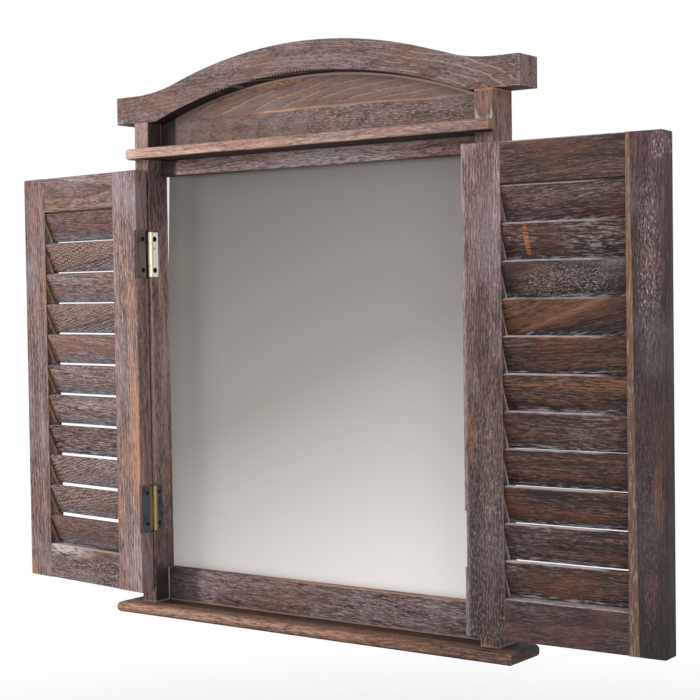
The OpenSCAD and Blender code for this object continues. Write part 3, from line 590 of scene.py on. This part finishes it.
# %% Finishes for the frame
FINISHES = {
    "post_left": timber("post_left_timber", "42312e", "79635d", "a68e87", "a8785c", grit=1.4, limed=0.6,
                        marks=MARKS["post_left"]),
    "post_right": timber("post_right_timber", "3a2a28", "6e5853", "98807a", "a07258", grit=1.3,
                         fade=(1.14, 0.98), marks=MARKS["post_right"]),
    "cap": timber("cap_timber", "3c2c2b", "6c5652", "8d7976", "946c56", flank=0, rings=3.4, under=0.97,
                  fade=(0.97, 0.8), marks=MARKS["cap"]),
    "panel": timber("panel_timber", "423330", "68544f", "88756f", "9a7050", grit=0.8, limed=0.1,
                    ring_depth=0.15, rings=5, marks=MARKS["panel"]),
    "ledge": timber("ledge_timber", "624a43", "99796f", "c6a99f", "c08f6e", limed=0.3, under=0.97,
                    fade=(1.35, 0.65), marks=MARKS["ledge"]),
    "shelf": timber("shelf_timber", "402925", "78584b", "a07c6a", "a06c50", limed=0.2, haze=0, grit=1.5,
                    fade=(1.0, 0.55), marks=MARKS["shelf"]),
    "rails": timber("rail_timber", "43322f", "766360", "a6918d", "a07058", grit=1.3, limed=0.6,
                    fade=(1.0, 0.92), marks=MARKS["rails"]),
    "bottom_rail": timber("bottom_rail_timber", "30221f", "5d4b48", "8c7773", "906450", grit=1.4,
                          fade=(1.05, 0.68), marks=MARKS["bottom_rail"]),
}
print("timber finishes for the frame:", len(FINISHES))

# %% [markdown]
# ## Finishes for the left shutter
# The slats aren't all of one tone, because each was cut from another offcut:
# plain, brown, pale, streaked, or with a crossing figure. Where the figure
# runs in zigzags the pores are short.

# %% Finishes for the left shutter
ZIGZAG = (0.5, 1.3)
FINISHES.update({
    "left": timber("left_timber", "4b3936", "806a66", "ae9894", "a8755a", limed=0.3, ring_depth=0.3, rings=3,
                   warmth=0.5, haze=0.5, grit=1.3, marks=MARKS["left"]),
    "left_outer": timber("left_outer_timber", "3f302f", "705b59", "9a8583", "98694f", limed=0.3,
                         ring_depth=0.35, rings=3, warmth=0.4, haze=0.5, grit=1.4,
                         marks=MARKS["left_outer"]),
    "left_bottom": timber("left_bottom_timber", "2a1d1b", "523f3d", "7b6763", "90634a", grit=1.4, haze=0.2,
                          pores=(0.35, 1.3), marks=MARKS["left_bottom"]),
    "left_top_rail": timber("left_top_rail_timber", "45332f", "735c56", "9a827b", "a8755a", limed=0.4,
                            ring_depth=0.35, rings=3, marks=MARKS["left_top_rail"]),
    "left_slats": timber("left_slat_timber", "3d2d2e", "766360", "a5928f", "98694f", limed=0.8, grit=1.4,
                         marks=MARKS["left_slats"]),
    "left_figured": timber("left_figured_timber", "3b2a28", "604d4b", "8b7978", "8a6250", limed=0.3, haze=0,
                           pores=ZIGZAG, marks=MARKS["left_figured"]),
    "left_wavy": timber("left_wavy_timber", "33231f", "634b47", "8b7370", "805040", limed=0.3, haze=0,
                        pores=ZIGZAG, marks=MARKS["left_wavy"]),
    "left_pale": timber("left_pale_timber", "33241f", "745d5b", "9e8885", "8a5c46", limed=0.3, haze=0,
                        pores=ZIGZAG, marks=MARKS["left_wavy"]),
    "left_brown": timber("left_brown_timber", "30201e", "614b47", "88726d", "84583f", limed=0.4, haze=0,
                         grit=1.4, marks=MARKS["left_slats"]),
    "left_streaked": timber("left_streaked_timber", "30211f", "6a5450", "96807a", "98694f", limed=0.3,
                            haze=0, grit=1.4, marks=MARKS["left_streaked"]),
})
print("with the left shutter's:", len(FINISHES))

# %% [markdown]
# ## Finishes for the right shutter
# This shutter is darker, and its stiles are painted paler towards the top,
# where more light falls. Their pores are short and very fine.

# %% Finishes for the right shutter
FINE = (0.3, 2.4)
FINISHES.update({
    "right_hinge": timber("right_hinge_timber", "2c1e1c", "574340", "86706c", "84583f", limed=0.3, haze=0.2,
                          grit=1.3, fade=(0.28, 1.35), pores=FINE, marks=MARKS["right_hinge"]),
    "right_outer": timber("right_outer_timber", "241818", "402f2f", "5e4c4b", "74503f", limed=0, haze=0.15,
                          grit=1.3, fade=(0.3, 1.05), pores=FINE, marks=MARKS["right_outer"]),
    "right": timber("right_timber", "1e1415", "43312c", "6e554b", "7a513c", limed=0.1, haze=0, grit=1.2,
                    marks=MARKS["right"]),
    "right_bottom": timber("right_bottom_timber", "181011", "322424", "574340", "6a4536", limed=0.3, haze=0,
                           grit=1.2, marks=MARKS["right"]),
    "right_slats": timber("right_slat_timber", "1b1110", "3d2b27", "6a5249", "7d5038", limed=0.4, haze=0.1,
                          grit=1.3, marks=MARKS["right_slats"]),
    "right_warm": timber("right_warm_timber", "1b1110", "3c2a24", "664a3c", "7a4c30", limed=0.2, haze=0,
                         grit=1.3, marks=MARKS["right_warm"]),
    "right_parted": timber("right_parted_timber", "1b1110", "3a2a26", "62493f", "7a4c30", limed=0.2, haze=0,
                           marks=MARKS["right_parted"]),
    "right_flamed": timber("right_flamed_timber", "1b1110", "3c2b27", "664d44", "7a4c30", limed=0.6, haze=0,
                           marks=MARKS["right_flamed"]),
    "right_pale": timber("right_pale_timber", "1b1110", "352726", "584744", "74503c", limed=0.3,
                         pores=ZIGZAG, marks=MARKS["right_pale"]),
})
print("with the right shutter's:", len(FINISHES))

# %% [markdown]
# ## Boards
# Every timber piece is a copy of its solid, so that it fits as the real one
# does. The frame's boards have their corners eased by half a millimetre and
# the shutters' rails by a quarter, as a plane or sandpaper does it. Stiles and
# slats keep the corners of their solids. The copy also gets the two sets of
# coordinates that the finish reads. `grain` is in metres, measured from the
# heart of a tree that is given for each kind of board. `place` runs
# from 0 to 1 over the board.

# %% Directions of the boards
X, Y, Z = Vector((1, 0, 0)), Vector((0, 1, 0)), Vector((0, 0, 1))
UPRIGHT, LEVEL = (Z, X, Y), (X, Z, Y)
JOINTS = {joint["name"]: joint for joint in frame["joints"]}


def shutter_axes(side):
    joint = JOINTS[side + "_shutter_hinge"]
    opened = math.radians(joint["range_deg"][1])
    turn = Matrix.Rotation(-opened * joint["axis"][2], 3, "Z")
    closed = X if side == "left" else -X
    return turn @ closed, turn @ Y


for side in ("left", "right"):
    print(side, "shutter runs along", [round(part, 3) for part in shutter_axes(side)[0]])

# %% Boards
GRAIN_STEP = 0.731
WELD = 2e-6
FLAT, CORNER, SMOOTH_TO = math.radians(0.2), math.radians(50), math.radians(32)
FRAME_EASING, RAIL_EASING = 0.5 * MM, 0.25 * MM


def give_grain(mesh, axes, heart, lean, number, tilt=0):
    points = np.empty(len(mesh.vertices) * 3)
    mesh.vertices.foreach_get("co", points)
    run = points.reshape(-1, 3) @ np.array([list(axis) for axis in axes]).T
    low, high = run.min(0), run.max(0)
    place = (run - low) / (high - low)
    middle = (low + high) / 2
    grain = run - middle
    grain[:, 1] -= heart[0] + lean * grain[:, 0]
    grain[:, 2] -= heart[1] + tilt * grain[:, 0]
    grain[:, 0] += number * GRAIN_STEP
    for name, values in (("grain", grain), ("place", place)):
        layer = mesh.attributes.new(name, "FLOAT_VECTOR", "POINT")
        layer.data.foreach_set("vector", values.astype(np.float32).ravel())


def clean_copy(node, name):
    mesh = frame["nodes"][node].data.copy()
    mesh.materials.clear()
    form = bmesh.new()
    form.from_mesh(mesh)
    bmesh.ops.remove_doubles(form, verts=form.verts, dist=WELD)
    bmesh.ops.dissolve_limit(form, angle_limit=FLAT, verts=form.verts, edges=form.edges)
    form.to_mesh(mesh)
    form.free()
    piece = bpy.data.objects.new(name, mesh)
    bpy.context.collection.objects.link(piece)
    return piece


def ease(piece, width):
    bevel = piece.modifiers.new("eased", "BEVEL")
    bevel.width = width
    bevel.segments = 2
    bevel.limit_method = "ANGLE"
    bevel.angle_limit = CORNER


def board(node, body, axes, finish, heart, lean=0, tilt=0, number=0, easing=FRAME_EASING):
    piece = clean_copy(node, node + "_timber")
    give_grain(piece.data, axes, heart, lean, number, tilt)
    piece.data.materials.append(FINISHES[finish])
    piece.data.shade_smooth()
    piece.data.set_sharp_from_angle(angle=SMOOTH_TO)
    if easing:
        ease(piece, easing)
    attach(piece, body)
    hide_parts(node)
    return piece


print("corners eased by", round(FRAME_EASING / MM, 2), "and", round(RAIL_EASING / MM, 2), "mm")

# %% [markdown]
# ## Raw wood in the housings
# The slats' ends lie in sloping housings, and beside each slat the housing
# has a shallow step that the stain never reached. On the left shutter it
# shows fresh orange wood, and on the right one it is full of lime. The step's
# floor is found by its place: it looks along the shutter and lies between half
# a millimetre and two below the stile's inner edge. It takes a second finish.

# %% Raw steps
STEP_FROM, STEP_TO = 0.5 * MM, 2.0 * MM
FACING = 0.9


def paint_steps(stile, across, inner, finish):
    stile.data.materials.append(finish)
    found = 0
    for face in stile.data.polygons:
        depth = abs(face.center.dot(across) - inner)
        if abs(face.normal.dot(across)) > FACING and STEP_FROM < depth < STEP_TO:
            face.material_index = 1
            found += 1
    return found


CLEAN = {"limed": 0, "haze": 0, "wear": 0, "under": 0, "flank": 0}
RAW = {
    "left": timber("raw_steps", "b97a4c", "f6c396", "ffe2c0", "ffd8ac", fade=(0.75, 1.1), **CLEAN),
    "right": timber("limed_steps", "d8ccc6", "f0e8e4", "fffaf6", "f0e8e4", **CLEAN),
}
print("finishes for raw steps:", len(RAW))

# %% [markdown]
# ## The frame's boards
# The posts stand with upright grain, and everything that runs from side to
# side has level grain. The header panel and the cap are wide boards cut near
# the heart, so their rings show as long arches. The ledge is the palest piece,
# because it catches the most light and the most dust.

# %% Frame boards
board("post_left", "frame", UPRIGHT, "post_left",
      heart=(0.03, 0.06), lean=0.02, number=1)
board("post_right", "frame", UPRIGHT, "post_right",
      heart=(-0.05, 0.04), lean=-0.03, number=2)
board("cap", "frame", LEVEL, "cap",
      heart=(-0.045, 0.01), lean=0.02, tilt=0.22, number=3)
board("header_panel", "frame", LEVEL, "panel", heart=(-0.01, 0.02), tilt=-0.18, number=4)
board("ledge", "frame", LEVEL, "ledge", heart=(0.02, 0.06), number=5)
board("mirror_rail", "frame", LEVEL, "rails", heart=(0.01, 0.03), lean=0.03, number=6)
board("bottom_rail", "frame", LEVEL, "bottom_rail", heart=(0.015, 0.03), lean=-0.03, number=7)
board("shelf", "frame", LEVEL, "shelf", heart=(0.02, 0.04), number=8)

# %% [markdown]
# ## The shutters' boards
# Each shutter has upright stiles, level rails and eleven slats. A slat is a
# thin board, and no two come from the same place in the tree: some show
# straight lines, others a slanting figure. A short list of hearts is walked
# through in steps. The leans and looks have one entry for each slat, from
# slat 1 at the bottom to slat 11 at the top.

# %% Shutter boards
SLAT_HEARTS = [(0.10, 0.09), (0.004, 0.012), (0.05, 0.08), (-0.006, 0.010), (0.08, 0.05)]
SLAT_LEANS = {
    "left": [0.02, -0.15, -0.25, 0.0, 0.02, 0.0, 0.12, -0.25, 0.08, -0.30, 0.03],
    "right": [0.0, -0.02, -0.03, -0.02, -0.04, -0.03, 0.06, 0.25, 0.1, -0.04, 0.08],
}
SLAT_LOOKS = {
    "left": ["brown", "wavy", "pale", "streaked", "slats", "slats",
             "slats", "figured", "slats", "figured", "brown"],
    "right": ["slats", "slats", "warm", "warm", "slats", "warm",
              "warm", "parted", "pale", "flamed", "slats"],
}
STILE_LOOKS = {"left": ("left", "left_outer"), "right": ("right_hinge", "right_outer")}
RAIL_LOOKS = {"left": ("left_top_rail", "left_bottom"), "right": ("right", "right_bottom")}

for side, first in (("left", 10), ("right", 40)):
    run, out = shutter_axes(side)
    body = side + "_shutter"
    upright, level = (Z, run, out), (run, Z, out)
    for count, part in enumerate(("hinge_stile", "outer_stile")):
        stile = board(f"{side}_{part}", body, upright, STILE_LOOKS[side][count],
                      heart=(0.05, 0.03 + 0.02 * count), lean=0.03, number=first + count, easing=0)
        reach = [point.co.dot(run) for point in stile.data.vertices]
        inner = max(reach) if part == "hinge_stile" else min(reach)
        print(part, "raw faces:", paint_steps(stile, run, inner, RAW[side]))
    for count, part in enumerate(("top_rail", "bottom_rail")):
        board(f"{side}_{part}", body, level, RAIL_LOOKS[side][count],
              heart=(0.004, 0.03), lean=0.05, number=first + 2 + count, easing=RAIL_EASING)
    slats = sorted(name for name in frame["nodes"] if name.startswith(side + "_slat_"))
    for count, name in enumerate(slats):
        kind = (count * 2 + first) % len(SLAT_HEARTS)
        board(name, body, level, f"{side}_{SLAT_LOOKS[side][count]}",
              heart=SLAT_HEARTS[kind], lean=SLAT_LEANS[side][count], number=first + 5 + count, easing=0)
    print(side, "shutter:", len(slats), "slats")

# %% [markdown]
# ## The mirror
# In the picture the glass shows no room: only a smooth grey that runs from
# dark at the top left to nearly white at the bottom right. A perfect mirror
# would show whatever stands before it, here an empty white studio. So the
# glass is painted with that soft run of grey as a painted reflection, and
# keeps a weak mirror's shine over it. Two details make it read as glass. A
# thin bright line beside the left post is a painted highlight, as a bevel
# would catch the light, and it tapers off downwards. The glass also glows a
# little beside that post, which takes the post's soft shadow away, because a
# real mirror shows no shadow.

# %% Mirror finish
MIRROR_GREYS = [(0, "645f5c"), (0.25, "7b7672"), (0.5, "928d89"), (0.75, "c4bfbc"), (1, "e8e5e3")]
GREY_FALL = 0.71
GLINT_W, GLINT_DOWN, GLINT_SOFT = 3.2 * MM, 0.24, 0.2 * MM
SHADE_W = 37 * MM
GLOW_TOP, GLOW_FALL = 0.41, 0.17


def share_of(tree, value, low, high):
    return add(tree, "MapRange", {"Value": value, "From Min": low, "From Max": high}).outputs[0]


def mirror_finish():
    material, tree, shader = new_finish("mirror_silvering")
    low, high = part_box("mirror_glass")
    cut = add(tree, "SeparateXYZ", {0: add(tree, "TexCoord").outputs["Object"]})
    across = share_of(tree, cut.outputs[0], low[0], high[0])
    down = share_of(tree, cut.outputs[2], high[2], low[2])
    run = sum_of(tree, "MULTIPLY_ADD", across, 1 - GREY_FALL, sum_of(tree, "MULTIPLY", down, GREY_FALL))
    grey = ramp(tree, run, [(place, colour(shade)) for place, shade in MIRROR_GREYS])
    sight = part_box("post_left")[1][0]
    feeds = {"Value": down, "From Max": GLINT_DOWN, "To Min": sight + GLINT_W, "To Max": sight}
    reach = add(tree, "MapRange", feeds).outputs[0]
    glint = between(tree, sum_of(tree, "SUBTRACT", reach, cut.outputs[0]), 0, GLINT_SOFT)
    skin = mixed(tree, glint, grey, colour("fbfaf9"))
    feed(tree, shader.inputs["Base Color"], skin)
    feed(tree, shader.inputs["Emission Color"], skin)
    beside_post = between(tree, cut.outputs[0], sight + SHADE_W, sight + SHADE_W / 3)
    glow = sum_of(tree, "MULTIPLY_ADD", down, -GLOW_FALL, GLOW_TOP)
    feed(tree, shader.inputs["Emission Strength"], sum_of(tree, "MULTIPLY", beside_post, glow))
    shader.inputs["Metallic"].default_value = 0.02
    shader.inputs["Specular IOR Level"].default_value = 0.12
    shader.inputs["Roughness"].default_value = 0.1
    return material


def dress(node, finish):
    cad_piece = frame["nodes"][node]
    cad_piece.data.materials.clear()
    cad_piece.data.materials.append(finish)


dress("mirror_glass", mirror_finish())
print("the mirror is painted in", len(MIRROR_GREYS), "greys")

# %% [markdown]
# ## Hinges, screws and hanging plates
# The butt hinges are thin pressed metal. Age has turned them unevenly, from
# brass and nickel to nearly black, so their finish mixes two metals by a slow
# noise and rubs the edges bright. The barrel round the pin has a tone of its
# own, and so has the strip of leaf beside it; on the dull hinges that strip is
# a painted shadow of the gap beside the barrel. Both are found by their
# distance from the pin, which stands at the same place on either side of the
# mirror.

# %% Metal finishes
KNUCKLE, KNUCKLE_SOFT = 2, 0.2
STRIP_FROM, STRIP_TO = 3.0, 2.7
CREAM = "fff0d2"
WORN_METAL, SPECK_DEPTH = 0.35 * MM, 0.05 * MM
CLOUD_STRETCH, SPECK_STRETCH = (0.12, 0.12, 0.12), (1.4, 1.4, 1.4)


def metal(name, base, stain, rubbed, stained=0.5, roughness=0.4, metallic=0.9, barrel=None, beside=None):
    material, tree, shader = new_finish(name)
    point = times(tree, add(tree, "TexCoord").outputs["Object"], TO_MM)
    cloud = noise(tree, point, CLOUD_STRETCH, 5, 0.65).outputs[0]
    speck = noise(tree, point, SPECK_STRETCH, 3, 0.6).outputs[0]
    clouded = between(tree, cloud, 0.62 - 0.3 * stained, 0.75 - 0.2 * stained)
    skin = mixed(tree, clouded, colour(base), colour(stain))
    skin = mixed(tree, between(tree, speck, 0.58, 0.72), skin, colour(stain))
    edge = between(tree, worn_edges(tree, WORN_METAL)[0], 0.03, 0.2)
    skin = mixed(tree, edge, skin, colour(rubbed))
    if barrel:
        pin = Vector([abs(part) for part in JOINTS["left_shutter_hinge"]["pos_m"]]) / MM
        either = add(tree, "VectorMath", {0: point}, operation="ABSOLUTE").outputs[0]
        off = add(tree, "VectorMath", {0: either, 1: pin}, operation="SUBTRACT").outputs[0]
        level = times(tree, off, (1, 1, 0))
        away = add(tree, "VectorMath", {0: level}, operation="LENGTH").outputs["Value"]
        # Near the pin the leaf takes the strip colour; on the dull hinges it is a painted shadow of the gap
        # beside the barrel.
        strip = between(tree, away, KNUCKLE + STRIP_FROM, KNUCKLE + STRIP_TO)
        skin = mixed(tree, strip, skin, colour(beside))
        skin = mixed(tree, between(tree, away, KNUCKLE + KNUCKLE_SOFT, KNUCKLE), skin, colour(barrel))
    feed(tree, shader.inputs["Base Color"], skin)
    feed(tree, shader.inputs["Roughness"], sum_of(tree, "MULTIPLY_ADD", cloud, 0.3, roughness - 0.15))
    bump = add(tree, "Bump", {"Strength": 0.4, "Distance": SPECK_DEPTH, "Height": speck})
    feed(tree, shader.inputs["Normal"], bump.outputs[0])
    shader.inputs["Metallic"].default_value = metallic
    return material


bright = metal("bright_hinge", "ffffff", "c9bfae", "fff6dc", 0.15, 0.35, 0.2, CREAM, CREAM)
# The dull hinges' near-black strip is a painted shadow beside the barrel.
dull = metal("dull_hinge", "756a66", "544b48", "8f8778", 0.5, 0.5, 0.6, CREAM, "060504")
blued = metal("blued_hinge", "4a4f5a", "33363e", "a08a58", 0.5, 0.4, 0.6, "94805e", "7d6c48")
screw = metal("dark_screws", "2e2a28", "1d1a19", "8f8a80", 0.5, 0.45)
zinc = metal("zinc_plate", "a9abae", "86888c", "c6c8ca", 0.3, 0.35)
print("metals:", ", ".join(made.name for made in (bright, dull, blued, screw, zinc)))

# %% Metal pieces
METALS = {"hinge_pins": bright, "post_leaf_screws": screw}
for side in ("left", "right"):
    METALS[side + "_upper_post_leaf"] = bright
    METALS[side + "_lower_post_leaf"] = blued
    METALS[side + "_upper_leaf"] = dull
    METALS[side + "_lower_leaf"] = blued
    METALS[side + "_leaf_screws"] = screw
for name in ("back_tabs", "ledge_screws", "shelf_screws", "hanging_plates", "hanging_plate_screws"):
    METALS[name] = zinc
for name, finish in METALS.items():
    dress(name, finish)
print("metal pieces:", len(METALS))

# %% [markdown]
# ## The board behind the glass and the dowels
# Two pieces are plain fibre: the hardboard that backs the glass, pressed from
# pulp and so alike in all directions, and the beech dowels between posts and
# cap, whose fibres run upright. One stretched noise serves both.

# %% Board and dowels
FIBRE_DEPTH = 0.1 * MM


def plain_fibre(name, dark, pale, stretch):
    material, tree, shader = new_finish(name)
    point = times(tree, add(tree, "TexCoord").outputs["Object"], TO_MM)
    fibre = noise(tree, point, stretch, 5, 0.7).outputs[0]
    skin = ramp(tree, fibre, [(0.3, colour(dark)), (0.7, colour(pale))])
    feed(tree, shader.inputs["Base Color"], skin)
    bump = add(tree, "Bump", {"Strength": 0.4, "Distance": FIBRE_DEPTH, "Height": fibre})
    feed(tree, shader.inputs["Normal"], bump.outputs[0])
    shader.inputs["Roughness"].default_value = 0.8
    return material


dress("back_board", plain_fibre("hardboard", "5e4630", "8a6a4a", (0.4, 0.4, 0.4)))
dress("cap_dowels", plain_fibre("beech", "a8845c", "d2b48c", (0.6, 0.6, 0.05)))
print("hardboard and beech made")

# %% [markdown]
# ## Studio
# The picture was taken in soft light from the front left, against white. A
# large lamp stands there and a weaker one to the right, the world fills the
# rest, and a pale floor lies below, as far down as a hanging mirror needs. It
# keeps the shadow and fades to white further out. The background is white
# because the world looks white to the camera, not because more light falls
# on the object.

# %% Studio
FLOOR_DROP, FLOOR_HALF = 0.30, 6.0
FADE_FROM, FADE_TO = 0.5, 1.4
SPECKLE_STRETCH = (40, 40, 40)
FILL = 0.62
KEY_AT, SIDE_AT, LIT = (-1.5, -1.7, 0.9), (1.9, -1.0, 0.2), (0, 0, -0.2)
KEY_WATTS, SIDE_SHARE, LAMP_SIZE = 38, 0.42, 1.4


def add_world():
    world = bpy.data.worlds.new("studio")
    world.use_nodes = True
    tree = world.node_tree
    back = tree.nodes["Background"]
    path = add(tree, "LightPath")
    seen = sum_of(tree, "MAXIMUM", path.outputs["Is Camera Ray"], path.outputs["Is Glossy Ray"])
    seen = sum_of(tree, "MAXIMUM", seen, path.outputs["Is Transmission Ray"])
    back.inputs["Color"].default_value = (1, 1, 1, 1)
    feed(tree, back.inputs["Strength"], sum_of(tree, "MULTIPLY_ADD", seen, 1 - FILL, FILL))
    bpy.context.scene.world = world


def add_lamp(name, at, watts):
    lamp = bpy.data.lights.new(name, "AREA")
    lamp.shape = "DISK"
    lamp.size = LAMP_SIZE
    lamp.energy = watts
    holder = bpy.data.objects.new(name, lamp)
    holder.location = at
    holder.rotation_euler = (Vector(LIT) - Vector(at)).to_track_quat("-Z", "Y").to_euler()
    bpy.context.collection.objects.link(holder)


def floor_finish():
    material, tree, shader = new_finish("pale_floor")
    point = add(tree, "TexCoord").outputs["Object"]
    speckle = noise(tree, point, SPECKLE_STRETCH, 3).outputs[0]
    skin = ramp(tree, speckle, [(0.3, colour("f4f3f2")), (0.7, colour("fafaf9"))])
    feed(tree, shader.inputs["Base Color"], skin)
    shader.inputs["Roughness"].default_value = 0.9
    white = add(tree, "Emission", {"Strength": 1})
    distance = add(tree, "VectorMath", {0: point}, operation="LENGTH").outputs["Value"]
    away = between(tree, distance, FADE_FROM, FADE_TO)
    share = sum_of(tree, "MULTIPLY", away, add(tree, "LightPath").outputs["Is Camera Ray"])
    both = add(tree, "MixShader", {0: share, 1: shader.outputs[0], 2: white.outputs[0]})
    feed(tree, tree.nodes["Material Output"].inputs["Surface"], both.outputs[0])
    return material


def add_floor():
    mesh = bpy.data.meshes.new("floor")
    corners = [(FLOOR_HALF * x, FLOOR_HALF * y, 0) for x, y in ((-1, -1), (1, -1), (1, 1), (-1, 1))]
    mesh.from_pydata(corners, [], [(0, 1, 2, 3)])
    mesh.materials.append(floor_finish())
    floor = bpy.data.objects.new("floor", mesh)
    floor.location = (0, 0, shelf_low - FLOOR_DROP)
    bpy.context.collection.objects.link(floor)


add_world()
add_floor()
add_lamp("key", KEY_AT, KEY_WATTS)
add_lamp("side", SIDE_AT, KEY_WATTS * SIDE_SHARE)
bpy.context.scene.view_settings.view_transform = "Standard"
print("floor at", round(shelf_low - FLOOR_DROP, 3), "m, key lamp of", KEY_WATTS, "watts")
